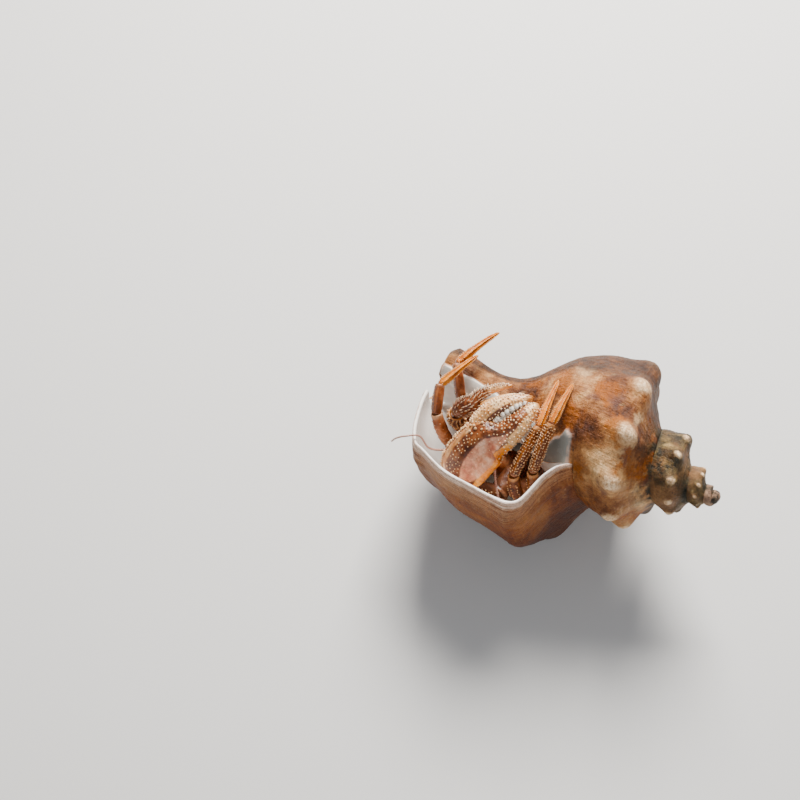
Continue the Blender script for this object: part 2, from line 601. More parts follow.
def makeShellFinish():
    finish, shader = newFinish("shell_finish", 0.5)
    turns, across, _ = addNode("SeparateXYZ", {0: addNode("UVMap", {}, uv_map="shellLines")["UV"]})

    def streaks(byTurn, byPlace, detail, shift):
        # noise drawn out along the lip or along the whorl
        lined = addNode("CombineXYZ", {0: times(turns, byTurn), 1: times(across, byPlace)})
        return mottle(1.0, detail, 0.6, shift, lined[0])

    turn, knob, inside, dorsal = (trait(name) for name in ("turn", "knob", "inside", "dorsal"))
    growth = streaks(22.0, 0.3, 7, 1.0)
    cords = streaks(0.5, 8.0, 3, 2.0)
    lines = streaks(140.0, 0.5, 3, 6.0)
    threads = streaks(0.8, 26.0, 4, 9.0)
    blotch = mottle(62, 7, 0.62)
    small = mottle(260, 7, 0.68, 3.0)
    grain = mottle(1100, 3, 0.6, 4.0)
    colour = shades(blotch, (0.34, (0.095, 0.036, 0.016)), (0.43, (0.235, 0.098, 0.042)),
                    (0.51, (0.46, 0.235, 0.11)), (0.6, (0.70, 0.44, 0.235)), (0.7, (0.88, 0.66, 0.41)))
    # orange, plum and pale patches
    colour = patches(colour, mottle(95, 5, 0.6, 7.0), 0.5, 0.6, 0.75, (0.40, 0.145, 0.035))
    colour = patches(colour, mottle(75, 5, 0.6, 12.0), 0.56, 0.64, 0.6, (0.20, 0.10, 0.08))
    colour = patches(colour, mottle(80, 6, 0.62, 21.0), 0.56, 0.66, 0.7, (0.76, 0.54, 0.33))
    # the dull speckled back
    dull = shades(small, (0.38, (0.038, 0.016, 0.008)), (0.5, (0.095, 0.042, 0.02)), (0.62, (0.20, 0.095, 0.045)))
    colour = over(times(dorsal, 0.9), colour, dull)
    colour = darken(colour, growth, 0.9, 1.06)
    colour = darken(colour, cords, 0.88, 1.1)
    # the spire is greenish grey, with an orange-brown tip
    spire = times(fade(plus(turn, times(blotch, 0.9)), -0.65, -1.2), 0.82)
    grey = shades(small, (0.38, (0.035, 0.03, 0.014)), (0.48, (0.10, 0.08, 0.036)),
                  (0.56, (0.22, 0.17, 0.08)), (0.66, (0.42, 0.32, 0.165)))
    grey = patches(grey, mottle(75, 5, 0.65, 71.0), 0.48, 0.56, 0.7, (0.045, 0.04, 0.022))
    grey = patches(grey, mottle(55, 6, 0.62, 81.0), 0.5, 0.6, 0.65, (0.34, 0.19, 0.10))
    colour = over(spire, colour, grey)
    # worn knobs, then dark weed in the grooves
    wornKnob = fade(plus(knob, plus(times(small, 0.8), times(blotch, 1.0))), 1.2, 1.85)
    wornKnob = times(wornKnob, minus(1.0, times(dorsal, 0.85)))
    colour = over(wornKnob, colour, shades(grain, (0.35, (0.74, 0.47, 0.28)), (0.65, (1.0, 0.81, 0.57))))
    spireTip = shades(small, (0.4, (0.34, 0.22, 0.17)), (0.6, (0.6, 0.4, 0.29)))
    colour = patches(colour, turn, -3.2, -3.9, 0.8, spireTip)
    weed = times(trait("groove"), fade(mottle(130, 5, 0.6, 30.0), 0.42, 0.56))
    colour = over(weed, colour, shades(small, (0.4, (0.022, 0.024, 0.015)), (0.6, (0.085, 0.075, 0.045))))
    stain = plus(mottle(150, 8, 0.72, 41.0), times(spire, 0.1))
    colour = patches(colour, stain, 0.6, 0.69, 0.9, (0.045, 0.038, 0.022))
    colour = patches(colour, mottle(620, 4, 0.7, 88.0), 0.63, 0.68, 0.75, (0.075, 0.042, 0.024))
    # new growth behind the lip: red-brown with pale lines, then the pale edge
    newGrowth = fade(turn, -0.34, -0.2)
    mixed = plus(plus(times(growth, 0.14), times(threads, 0.24)), times(small, 0.62))
    red = shades(mixed, (0.38, (0.13, 0.036, 0.014)), (0.48, (0.245, 0.08, 0.03)),
                 (0.55, (0.34, 0.135, 0.055)), (0.66, (0.52, 0.27, 0.13)))
    red = patches(red, blotch, 0.46, 0.62, 0.6, (0.44, 0.19, 0.07))
    red = patches(red, mottle(330, 6, 0.7, 61.0), 0.6, 0.68, 0.55, (0.62, 0.40, 0.24))
    red = patches(red, mottle(40, 5, 0.6, 66.0), 0.5, 0.62, 0.6, (0.15, 0.06, 0.035))
    colour = over(times(newGrowth, 0.86), colour, red)
    band = times(fade(turn, -0.045, -0.012), fade(lines, 0.46, 0.56))
    colour = over(times(band, 0.7), colour, (0.78, 0.50, 0.31))
    edge = plus(turn, times(minus(small, 0.5), 0.012))
    paleEdge = shades(lines, (0.42, (0.52, 0.27, 0.18)), (0.54, (0.92, 0.75, 0.61)))
    colour = over(fade(edge, -0.011, -0.004), colour, paleEdge)
    colour = darken(colour, grain, 0.82, 1.18)
    colour = richer(deepen(colour, 1.22), 1.08)
    shaded = over(1.0, colour, (0.34, 0.29, 0.26), "MULTIPLY")
    colour = over(times(newGrowth, fade(turn, -0.045, -0.13)), colour, shaded)
    # inside: white near the lip, blue-grey deeper in, grey on the old whorl
    enamel = shades(plus(turn, 1.1), (0.09, (0.34, 0.33, 0.29)), (0.2, (0.13, 0.13, 0.12)),
                    (0.55, (0.32, 0.32, 0.30)), (0.85, (0.72, 0.73, 0.70)), (1.0, (0.95, 0.91, 0.85)))
    enamel = over(fade(across, 8.2, 9.6), enamel, (0.78, 0.74, 0.66))
    enamel = darken(enamel, mottle(120, 3, 0.5, 50.0), 0.88, 1.08)
    rimStain = times(fade(inside, 1.0, 0.85), fade(mottle(190, 6, 0.65, 55.0), 0.44, 0.58))
    enamel = over(times(rimStain, 0.75), enamel, (0.58, 0.37, 0.27))
    gloss = plus(times(inside, -0.32), times(small, 0.5))
    rough = minus(1.0, inside)
    colour = over(fade(inside, 0.25, 0.75), colour, enamel)
    dress(
        shader, {"Base Color": colour, "Roughness": plus(gloss, 0.31), "Specular IOR Level": 0.3},
        (mottle(170, 6, 0.66, 95.0), 2.4, times(rough, 0.5)), (cords, 0.6, times(rough, 0.6)),
        (growth, 0.6, times(rough, 0.6)), (small, 1.3, times(rough, 0.85)),
        (pits(420), 0.3, times(rough, 0.45)), (grain, 0.3, times(rough, 0.8)),
    )
    return finish


whelkShell = makeWhelkShell()
settle(whelkShell, "shell", makeShellFinish(), "shell")
print("whelk shell done")


# limbs grow ring by ring along a course of (place, half width, half depth)
def courseOf(stations, reference, finer=3):
    table = np.array([(*spot, wide, deep) for spot, wide, deep in stations])
    table = curveThrough(table, np.linspace(0, len(table) - 1, (len(table) - 1) * finer + 1))
    spots = [Vector(row[:3]) for row in table]
    course = []
    gone = 0.0
    for i, spot in enumerate(spots):
        back = spots[max(i - 1, 0)]
        on = spots[min(i + 1, len(spots) - 1)]
        run = ((spot - back).normalized() + (on - spot).normalized()).normalized()
        across = (reference - run * reference.dot(run)).normalized()
        gone += (spot - back).length
        course.append({"spot": spot, "wide": table[i, 3], "deep": table[i, 4], "across": across,
                       "down": run.cross(across), "run": run, "gone": gone})
    for ring in course:
        ring["share"] = ring["gone"] / gone
    return course


def ringTurned(ring):
    return Matrix((ring["across"], ring["down"], ring["run"])).transposed()


def choose(*pieces):
    bpy.ops.object.select_all(action="DESELECT")
    for piece in pieces:
        piece.select_set(True)
    bpy.context.view_layer.objects.active = pieces[0]


def pointsOf(piece):
    co = np.empty(len(piece.data.vertices) * 3, np.float32)
    piece.data.vertices.foreach_get("co", co)
    return co.reshape(-1, 3).astype(float)


def growTube(name, course, sides=12, levels=2, cup=0.0):
    # a filled circle drawn out ring by ring, its far end sunk to a cup, then softened
    first = course[0]
    bpy.ops.object.select_all(action="DESELECT")
    bpy.ops.mesh.primitive_circle_add(vertices=sides, radius=1, fill_type="NGON", location=first["spot"],
                                      rotation=ringTurned(first).to_euler())
    piece = bpy.context.object
    piece.name = piece.data.name = name
    piece.scale = (first["wide"], first["deep"], 1)
    bpy.ops.object.transform_apply(location=True, rotation=True, scale=True)
    bpy.ops.object.mode_set(mode="EDIT")
    bpy.ops.mesh.select_all(action="SELECT")
    for before, now in zip(course, course[1:]):
        bpy.ops.mesh.extrude_region_move(TRANSFORM_OT_translate={"value": now["spot"] - before["spot"]})
        grow = Matrix.Diagonal((now["wide"] / before["wide"], now["deep"] / before["deep"], 1))
        turn = ringTurned(now) @ grow @ ringTurned(before).transposed()
        shape = bmesh.from_edit_mesh(piece.data)
        ends = [v for v in shape.verts if v.select]
        there = Matrix.Translation(now["spot"])
        bmesh.ops.transform(shape, matrix=there @ turn.to_4x4() @ there.inverted(), verts=ends)
        bmesh.update_edit_mesh(piece.data)
    if cup:
        last = course[-1]
        bpy.ops.mesh.inset(thickness=0.16 * last["wide"])
        bpy.ops.mesh.inset(thickness=0.1 * last["wide"])
        bpy.ops.transform.translate(value=last["run"] * -cup)
        bpy.ops.mesh.inset(thickness=0.25 * last["wide"])
    bpy.ops.object.mode_set(mode="OBJECT")
    faceOutwards(piece.data)
    choose(piece)
    softened = piece.modifiers.new("softened", "SUBSURF")
    softened.levels = softened.render_levels = levels
    bpy.ops.object.modifier_apply(modifier="softened")
    bpy.ops.object.shade_smooth()
    return piece, placesAlong(piece, course)


def placesAlong(piece, course):
    # for each point: the share of the course, then sideways and upwards in half sizes
    co = pointsOf(piece)
    nearest = np.full(len(co), 1e9)
    places = np.zeros((3, len(co)))
    for ring, following in zip(course, course[1:]):
        start = np.array(ring["spot"])
        chord = np.array(following["spot"]) - start
        f = np.clip((co - start) @ chord / (chord @ chord), 0, 1)[:, None]
        off = co - start - f * chord
        distance = np.linalg.norm(off, axis=1)
        now = {}
        for key in ("share", "across", "down", "wide", "deep"):
            a, b = np.array(ring[key]), np.array(following[key])
            now[key] = (a + f * (b - a)).T
        sideways = (off.T * now["across"]).sum(0) / now["wide"][0]
        upwards = -(off.T * now["down"]).sum(0) / now["deep"][0]
        here = np.array([now["share"][0], sideways, upwards])
        closer = distance < nearest
        nearest[closer] = distance[closer]
        places[:, closer] = here[:, closer]
    return places


def pushOut(piece, amounts):
    # moves each point along its normal, in millimetres
    normals = np.array([v.normal for v in piece.data.vertices])
    co = pointsOf(piece) + normals * (np.asarray(amounts) * mm)[:, None]
    piece.data.vertices.foreach_set("co", co.astype(np.float32).ravel())
    piece.data.update()


def roughOf(piece, scale):
    # noise at each point, about -0.6 to 0.6
    return np.array([noise.noise(v.co * scale) for v in piece.data.vertices])


def skinOf(piece, course):
    # what sowing needs: the piece's surface and its course
    faces = [tuple(p.vertices) for p in piece.data.polygons]
    return BVHTree.FromPolygons([v.co for v in piece.data.vertices], faces), course


def skinAt(skin, share, angle):
    # a place on a tube's skin: angle 0 is sideways, 90 degrees is up
    surface, course = skin
    k = min(int(np.searchsorted([ring["share"] for ring in course], share)), len(course) - 1)
    a, b = course[max(k - 1, 0)], course[k]
    f = (share - a["share"]) / max(b["share"] - a["share"], 1e-9)
    middle = a["spot"].lerp(b["spot"], f)
    way = (a["across"] * math.cos(angle) * a["wide"] - a["down"] * math.sin(angle) * a["deep"]).normalized()
    spot, normal, _, _ = surface.ray_cast(middle + way * 30 * mm, -way)  # from well outside the piece
    if spot is None:
        return None
    return spot, normal, a["run"]


# a worn conical grain, modelled once, of a few dozen faces
def makeGrain():
    bpy.ops.object.select_all(action="DESELECT")
    bpy.ops.mesh.primitive_cylinder_add(vertices=6, radius=0.5, depth=0.3, location=(0, 0, 0.1))
    grain = bpy.context.object
    bpy.ops.object.transform_apply(location=True, rotation=True, scale=True)
    bpy.ops.object.mode_set(mode="EDIT")
    bpy.ops.mesh.select_all(action="DESELECT")
    shape = bmesh.from_edit_mesh(grain.data)
    for face in shape.faces:
        face.select = face.normal.z > 0.9
    bmesh.update_edit_mesh(grain.data)
    for lift, shrink in ((0.35, 0.68), (0.28, 0.5)):
        bpy.ops.mesh.extrude_region_move(TRANSFORM_OT_translate={"value": (0, 0, lift)})
        bpy.ops.transform.resize(value=(shrink, shrink, 1), center_override=(0, 0, 0))
    bpy.ops.object.mode_set(mode="OBJECT")
    points = pointsOf(grain)
    faces = [tuple(p.vertices) for p in grain.data.polygons]
    bpy.data.objects.remove(grain)
    return points, faces


grainPoints, grainFaces = makeGrain()


def scatter(name, spots):
    # copies of the grain at (spot, outward way, lean way, width, height, lean), in one piece
    verts, faces, tips, kinds = [], [], [], []
    for spot, outward, lean, wide, tall, tilt in spots:
        up = (outward + lean * tilt).normalized()
        side = up.orthogonal().normalized()
        turn = Matrix((side, up.cross(side), up)).transposed()
        twist = Matrix.Rotation(chance.uniform(0, 6.28), 3, "Z")
        axes = np.array(turn @ twist)
        scaled = grainPoints * np.array([wide * mm, wide * mm, tall * mm])
        start = len(verts)
        verts += (scaled @ axes.T + np.array(spot)).tolist()
        faces += [tuple(start + v for v in face) for face in grainFaces]
        tips += (grainPoints[:, 2] / grainPoints[:, 2].max()).tolist()
        kinds += [chance.random()] * len(grainPoints)
    mesh = bpy.data.meshes.new(name)
    mesh.from_pydata(verts, [], faces)
    piece = addObject(name, mesh)
    giveTraits(piece, tip=tips, kind=kinds)
    mesh.shade_smooth()
    return piece


def sow(skin, tries, wanted):
    # random spots at least as far apart as wanted(share, angle) says in millimetres; 0 means none there
    spots = []
    taken = np.zeros((0, 3))
    for _ in range(tries):
        share = chance.random()
        angle = chance.uniform(-math.pi, math.pi)
        apart, wide, tall, tilt = wanted(share, angle)
        found = skinAt(skin, share, angle) if apart else None
        if found is None:
            continue
        spot, normal, run = found
        if len(taken) and (((taken - np.array(spot)) ** 2).sum(1) < (apart * mm) ** 2).any():
            continue
        taken = np.vstack([taken, spot])
        size = chance.uniform(0.8, 1.2)
        spots.append((spot, normal, run, wide * size, tall * size, tilt))
    return spots


def inRows(skin, angles, first, last, count, wide, tall, tilt, wander=0.04):
    # a row of grains along a limb at each angle
    spots = []
    for angle in angles:
        for k in range(count):
            share = first + (last - first) * (k + chance.uniform(-0.2, 0.2)) / max(count - 1, 1)
            found = skinAt(skin, min(max(share, 0.01), 0.99), angle + chance.uniform(-wander, wander))
            if found:
                size = chance.uniform(0.8, 1.2)
                spots.append((*found, wide * size, tall * size, tilt))
    return spots


# finishes of the crab's hard skin: dark, middle, light and rim colours
chitin = {
    "limb": ((0.075, 0.024, 0.012), (0.21, 0.072, 0.027), (0.40, 0.165, 0.062), (0.58, 0.31, 0.16)),
    "knee": ((0.24, 0.085, 0.042), (0.46, 0.20, 0.105), (0.66, 0.36, 0.22), (0.72, 0.46, 0.30)),
    "smooth": ((0.11, 0.034, 0.018), (0.26, 0.095, 0.045), (0.46, 0.22, 0.125), (0.56, 0.31, 0.2)),
    "dactyl": ((0.34, 0.085, 0.012), (0.68, 0.23, 0.035), (0.92, 0.44, 0.11), (0.66, 0.36, 0.17)),
    "minor": ((0.05, 0.02, 0.012), (0.16, 0.065, 0.03), (0.33, 0.15, 0.07), (0.60, 0.32, 0.15)),
    "upper": ((0.06, 0.025, 0.015), (0.15, 0.062, 0.034), (0.28, 0.14, 0.08), (0.40, 0.21, 0.13)),
    "shield": ((0.16, 0.05, 0.025), (0.36, 0.145, 0.075), (0.60, 0.34, 0.21), (0.5, 0.26, 0.15)),
}


def makeChitin(name, dark, middle, light, rim):
    # mottled plates with a pale far rim, a soft joint behind and raised ridges
    finish, shader = newFinish(name, 0.36, 0.12)
    share = trait("share")
    blotch = mottle(260, 6, 0.62)
    fine = mottle(1300, 3, 0.6, 3.0)
    colour = shades(blotch, (0.34, dark), (0.5, middle), (0.66, light))
    colour = over(times(trait("ridge"), 0.8), colour, light)
    colour = over(0.25, colour, shades(mottle(90, 3, 0.5, 9.0), (0.4, dark), (0.6, middle)))
    colour = patches(colour, share, 0.88, 0.97, 0.85, rim)
    colour = over(fade(share, 0.07, 0.03), colour, (0.46, 0.24, 0.16))
    colour = richer(deepen(darken(colour, fine, 0.78, 1.2), 1.2), 1.12)
    dress(shader, {"Base Color": colour, "Roughness": plus(times(fine, 0.35), 0.24), "Specular IOR Level": 0.35},
          (blotch, 0.25, 0.5), (pits(1500), 0.12, 0.6), (fine, 0.1, 0.6))
    return finish


def makeGrainFinish(name, foot, tip, tipDark):
    finish, shader = newFinish(name, 0.34, 0.15)
    colour = over(fade(trait("tip"), 0.1, 0.8), foot, tip)
    colour = patches(colour, trait("kind"), 0.4, 1.0, 0.45, tipDark)
    colour = darken(colour, mottle(900, 3), 0.85, 1.12)
    dress(shader, {"Base Color": colour}, (mottle(2500, 2), 0.05, 0.4))
    return finish


# foot, tip and darker tip of the grains, spines and teeth
grainTones = {
    "grain": ((0.34, 0.13, 0.05), (0.80, 0.51, 0.26), (0.68, 0.34, 0.14)),
    "finger_grain": ((0.80, 0.44, 0.20), (0.96, 0.69, 0.42), (0.92, 0.55, 0.28)),
    "spine": ((0.30, 0.13, 0.06), (0.84, 0.63, 0.42), (0.74, 0.45, 0.25)),
    "dot": ((0.42, 0.165, 0.055), (0.76, 0.45, 0.22), (0.52, 0.23, 0.085)),
    "tooth": ((0.78, 0.64, 0.48), (0.95, 0.91, 0.83), (0.92, 0.86, 0.76)),
}
finishes = {name: makeChitin(f"{name}_finish", *tones) for name, tones in chitin.items()}
finishes |= {name: makeGrainFinish(f"{name}_finish", *tones) for name, tones in grainTones.items()}


# limb joints as (along, aside, out) with half width and half depth, as in the solids
walkingLegs = {
    "leg2_right": {
        "joints": (
            (62.4, 16.6, -4.8), (59.4, 27.0, 12.0), (61.1, 21.0, 23.8), (60.0, 3.4, 24.8), (62.8, -13.6, 16.3),
        ),
        "sizes": ((2.1, 2.0), (2.3, 2.2), (1.7, 1.8), (1.4, 1.6), (0.45, 0.45)),
    },
    "leg3_right": {
        "joints": ((58.4, 14.3, -9.7), (53.8, 24.5, 9.5), (55.9, 17.3, 23.0), (56.1, 0.6, 26.5), (57.0, -14.6, 19.3)),
        "sizes": ((2.0, 1.9), (2.2, 2.1), (1.7, 1.8), (1.4, 1.6), (0.45, 0.45)),
    },
    "leg2_left": {
        "joints": ((82.6, 18.6, -3.2), (90.4, 21.0, 8.5), (95.2, 13.4, 20.5), (97.7, 4.3, 22.0), (92.0, -10.1, 15.5)),
        "sizes": ((2.0, 1.9), (2.2, 2.1), (1.8, 1.9), (1.5, 1.7), (0.45, 0.45)),
    },
    "leg3_left": {
        "joints": ((76.0, 12.5, -10.0), (88.0, 11.2, 2.5), (91.0, 7.0, 12.0), (98.0, -4.5, 14.0), (92.2, -20.4, 4.5)),
        "sizes": ((2.0, 1.8), (2.1, 2.0), (1.8, 1.8), (1.5, 1.7), (0.45, 0.45)),
    },
}
limbLengths = ("merus", "carpus", "propodus", "dactyl")
# share of the length, and the width there against the plain taper
segmentProfile = (
    (-0.03, 0.45), (0.0, 0.78), (0.05, 0.94), (0.16, 1.06), (0.4, 1.14), (0.7, 1.16), (0.88, 1.1), (0.95, 1.16),
    (1.0, 1.1),
)
tipProfile = (
    (-0.03, 0.45), (0.0, 0.78), (0.05, 0.96), (0.16, 1.1), (0.4, 1.16), (0.7, 1.06), (0.88, 0.92), (0.97, 0.8),
    (1.0, 0.5),
)


def segmentCourse(first, second, sizes, profile):
    # a little swollen, and bowed away from the shell's axis
    start, end = np.array(sizes)
    chord = second - first
    fromAxis = (first + second) * 0.5 - spiralStart
    outwards = (fromAxis - axisWay * fromAxis.dot(axisWay)).normalized()
    bow = outwards - chord * (outwards.dot(chord) / chord.length_squared)
    stations = []
    for f, swell in profile:
        bend = 0.22 * chord.length * max(f, 0) * (1 - min(f, 1))
        stations.append((first + chord * f + bow * bend, *((start + (end - start) * f) * swell * mm)))
    return courseOf(stations, axisWay, 2)


def growSegment(name, course, finish, sides=12, levels=2, cup=0.0, ridges=0, ridgeHeight=0.0, slot="limb", node=None):
    # one length of a limb, with ridges along it and uneven skin
    piece, (share, sideways, upwards) = growTube(name, course, sides, levels, cup)
    inside = above(share, 0.04, 0.1) * below(share, 0.99, 0.06)
    wave = np.cos(ridges * np.arctan2(upwards, sideways)) * bool(ridges)
    pushOut(piece, ridgeHeight * wave * inside + 0.12 * roughOf(piece, 420) + 0.08 * roughOf(piece, 1100))
    giveTraits(piece, share=share, ridge=above(wave, 0.2, 0.7) * inside)
    settle(piece, slot, finishes[finish], node or name)
    return skinOf(piece, course)


def makeWalkingLeg(name, joints, sizes):
    joints = [place(*joint) for joint in joints]
    rows = []
    # the left pair is smoother and redder
    rough = name.endswith("right")
    looks = ("upper", "limb", "limb", "dactyl") if rough else ("upper", "knee", "smooth", "dactyl")
    for i, (length, finish) in enumerate(zip(limbLengths, looks)):
        part = f"{name}_{length}"
        profile = tipProfile if length == "dactyl" else segmentProfile
        course = segmentCourse(joints[i], joints[i + 1], sizes[i:i + 2], profile)
        if length == "dactyl":
            skin = growSegment(part, course, finish, ridges=6, ridgeHeight=0.24, slot="dactyl")
            for angle in (0.0, 1.047, 2.094, 3.14, 4.19, 5.24):
                rows += inRows(skin, [angle], 0.06, 0.42, 11, 0.4, 0.32, 1.3, 0.05)
                rows += inRows(skin, [angle], 0.45, 0.85, 12, 0.28, 0.2, 1.3, 0.03)
            continue
        ridges = 4 if length == "propodus" else 0
        skin = growSegment(part, course, finish, cup=0.9 * mm, ridges=ridges, ridgeHeight=0.14)
        if length == "carpus":
            count, wide = (8, 0.5) if rough else (5, 0.36)
            rows += inRows(skin, (0.6, 1.57, 2.5), 0.15, 0.8, count, wide, 0.5, 0.9, 0.1)
        elif length == "propodus" and rough:
            rows += inRows(skin, (-0.3, 0.3, 0.85, 1.4, 1.95, 2.5, 3.1, 3.7), 0.08, 0.93, 18, 0.46, 0.45, 1.0, 0.16)
        elif length == "propodus":
            rows += inRows(skin, [2.4], 0.08, 0.93, 9, 0.34, 0.45, 1.0, 0.16)
    return rows


legRows = []
for name, leg in walkingLegs.items():
    legRows += makeWalkingLeg(name, **leg)
settle(scatter("leg_grains", legRows), "limb", finishes["dot"])
print("walking legs done")


# the two claws: joints up to the wrist, then palm and finger as (place, half width, half depth)
claws = {
    "major_claw": {
        "joints": ((67.0, 17.0, 1.7), (68.0, 29.5, 6.0), (77.8, 31.4, 15.4)),
        "sizes": ((2.6, 2.5), (3.3, 3.2), (3.8, 3.6)),
        "palm": (
            (77.9, 29.4, 18.6, 5.6, 4.0), (77.6, 26.4, 22.2, 7.9, 4.7), (76.0, 21.6, 24.6, 8.5, 5.3),
            (74.0, 17.0, 25.8, 8.3, 5.6), (72.4, 13.6, 26.6, 7.9, 5.4), (68.8, 10.8, 26.8, 5.0, 4.6),
            (66.8, 6.4, 26.6, 4.3, 4.2), (65.4, 2.0, 26.0, 3.4, 3.4), (64.2, -1.2, 25.2, 2.3, 2.3),
            (63.3, -3.6, 24.6, 0.8, 0.8),
        ),
        "finger": (
            (78.4, 12.6, 25.2, 3.4, 3.5), (77.6, 9.8, 26.4, 3.7, 3.6), (76.6, 7.2, 27.1, 3.5, 3.5),
            (75.4, 4.8, 27.5, 3.3, 3.5), (73.4, 2.2, 27.6, 2.9, 3.1), (71.0, -0.3, 27.1, 2.3, 2.5),
            (68.4, -2.6, 26.3, 1.8, 1.9), (65.6, -4.3, 25.5, 0.7, 0.7),
        ),
    },
    "minor_claw": {
        "joints": ((83.6, 14.6, 3.2), (89.4, 13.2, 12.8), (89.0, 10.6, 20.3)),
        "sizes": ((2.1, 2.0), (2.6, 2.4), (2.5, 2.4)),
        "palm": (
            (87.6, 8.9, 22.2, 2.9, 2.9), (85.8, 6.9, 23.0, 3.0, 2.9), (84.0, 5.0, 23.2, 2.6, 2.6),
            (83.0, 1.6, 23.2, 1.6, 1.9), (80.5, -1.2, 23.0, 1.4, 1.5), (77.4, -3.8, 22.6, 1.1, 1.1),
            (74.6, -5.6, 22.0, 0.45, 0.45),
        ),
        "finger": (
            (81.4, 4.8, 23.0, 1.3, 1.6), (79.9, 3.8, 23.2, 1.5, 1.7), (77.8, 1.6, 23.2, 1.4, 1.6),
            (75.2, -1.0, 22.8, 1.1, 1.2), (72.6, -3.4, 21.8, 0.45, 0.45),
        ),
    },
}
# where on the big palm the smooth hollow is, as (share of the length, sideways), its size and its depth
bigHollow = {"middle": (0.41, 0.34), "size": (0.24, 0.42), "depth": 1.6}


def clawCourse(claw, part, finer):
    # the palm starts inside the wrist, the finger inside the palm
    stations = [(place(*spot), wide * mm, deep * mm) for *spot, wide, deep in claw[part]]
    if part == "palm":
        wide, deep = claw["sizes"][-1]
        stations.insert(0, (place(*claw["joints"][-1]), wide * mm * 0.8, deep * mm * 0.8))
    return courseOf(stations, axisWay, finer)


def hollowAt(share, sideways):
    # 1 in the big palm's smooth hollow, 0 outside
    along = (share - bigHollow["middle"][0]) / bigHollow["size"][0]
    across = (sideways - bigHollow["middle"][1]) / bigHollow["size"][1]
    return np.exp(-(along ** 2 + across ** 2) ** 1.3)


# colours of the claws' zones at dark, middle and pale blotches, each laid over those before
clawZones = {
    "tanZone": ((0.44, 0.19, 0.085), (0.60, 0.31, 0.15), (0.72, 0.45, 0.25)),
    "orangeZone": ((0.66, 0.19, 0.04), (0.92, 0.36, 0.10), (0.96, 0.52, 0.20)),
    "mauveZone": ((0.52, 0.20, 0.135), (0.76, 0.38, 0.25), (0.90, 0.57, 0.41)),
    "creamZone": ((0.72, 0.36, 0.155), (0.92, 0.57, 0.30), (0.96, 0.73, 0.46)),
    "lilacZone": ((0.44, 0.36, 0.33), None, (0.60, 0.50, 0.45)),
}


def makePalmFinish(name):
    finish, shader = newFinish(name, 0.34, 0.18)
    blotch = mottle(300, 6, 0.62)
    fine = mottle(1200, 3, 0.6, 3.0)
    colour = shades(blotch, (0.34, (0.07, 0.022, 0.013)), (0.5, (0.19, 0.066, 0.03)), (0.66, (0.36, 0.15, 0.07)))
    for zone, tones in clawZones.items():
        laid = shades(blotch, *(stop for stop in zip((0.36, 0.5, 0.64), tones) if stop[1]))
        softEdge = plus(trait(zone), times(minus(blotch, 0.5), 0.7))
        colour = over(fade(softEdge, 0.22, 0.78), colour, laid)
    colour = over(times(trait("tipZone"), 0.85), colour, (0.42, 0.15, 0.04))
    colour = richer(deepen(darken(colour, fine, 0.8, 1.18), 1.1), 1.12)
    dress(shader, {"Base Color": colour, "Roughness": plus(times(fine, 0.35), 0.2), "Specular IOR Level": 0.4},
          (blotch, 0.25, 0.5), (pits(1400), 0.12, 0.5), (fine, 0.08, 0.6))
    return finish


palmFinish = makePalmFinish("claw_finish")


def finishClaw(piece, course, *nodes, **zones):
    nothing = np.zeros(len(piece.data.vertices))
    giveTraits(piece, **{zone: zones.get(zone, nothing) for zone in (*clawZones, "tipZone")})
    settle(piece, "claw", palmFinish, *nodes)
    return skinOf(piece, course)


# grains on the big palm: how far apart, how wide, how tall and how much leaning forwards
noGrains = (0, 0, 0, 0)


def onPalm(share, angle):
    across, up = math.cos(angle), math.sin(angle)
    rules = (
        (share < 0.07 or share > 0.97, noGrains),
        (up < -0.35, (1.7, 0.8, 0.45, 0.5)),
        (share > 0.62, (0.92, 0.62, 0.55, 0.8)),
        (across < -0.45 and share > 0.47, (1.15, 1.0, 0.8, 0.9)),
        (across < -0.93, (1.0, 0.7, 0.9, 0.9)),
        (across > 0.66 and share < 0.52, (2.6, 0.4, 0.3, 0.5)),
        (across > 0.9, (1.2, 0.6, 0.6, 0.9)),
        (hollowAt(share, across) > 0.15, (2.3, 0.4, 0.3, 0.4)),
        (across < -0.72, (2.0, 0.5, 0.35, 0.7)),
        (across > 0.66, (1.8, 0.5, 0.35, 0.7)),
    )
    return next((grains for here, grains in rules if here), (0.98, 0.5, 0.5, 0.9))


def onFinger(share, angle):
    # bare at the tip and on the smooth spot near its hinge
    spotted = share < 0.3 and abs(math.cos(angle) - 0.35) < 0.35 and math.sin(angle) > 0
    return noGrains if share > 0.93 or spotted else (0.88, 0.6, 0.55, 0.8)


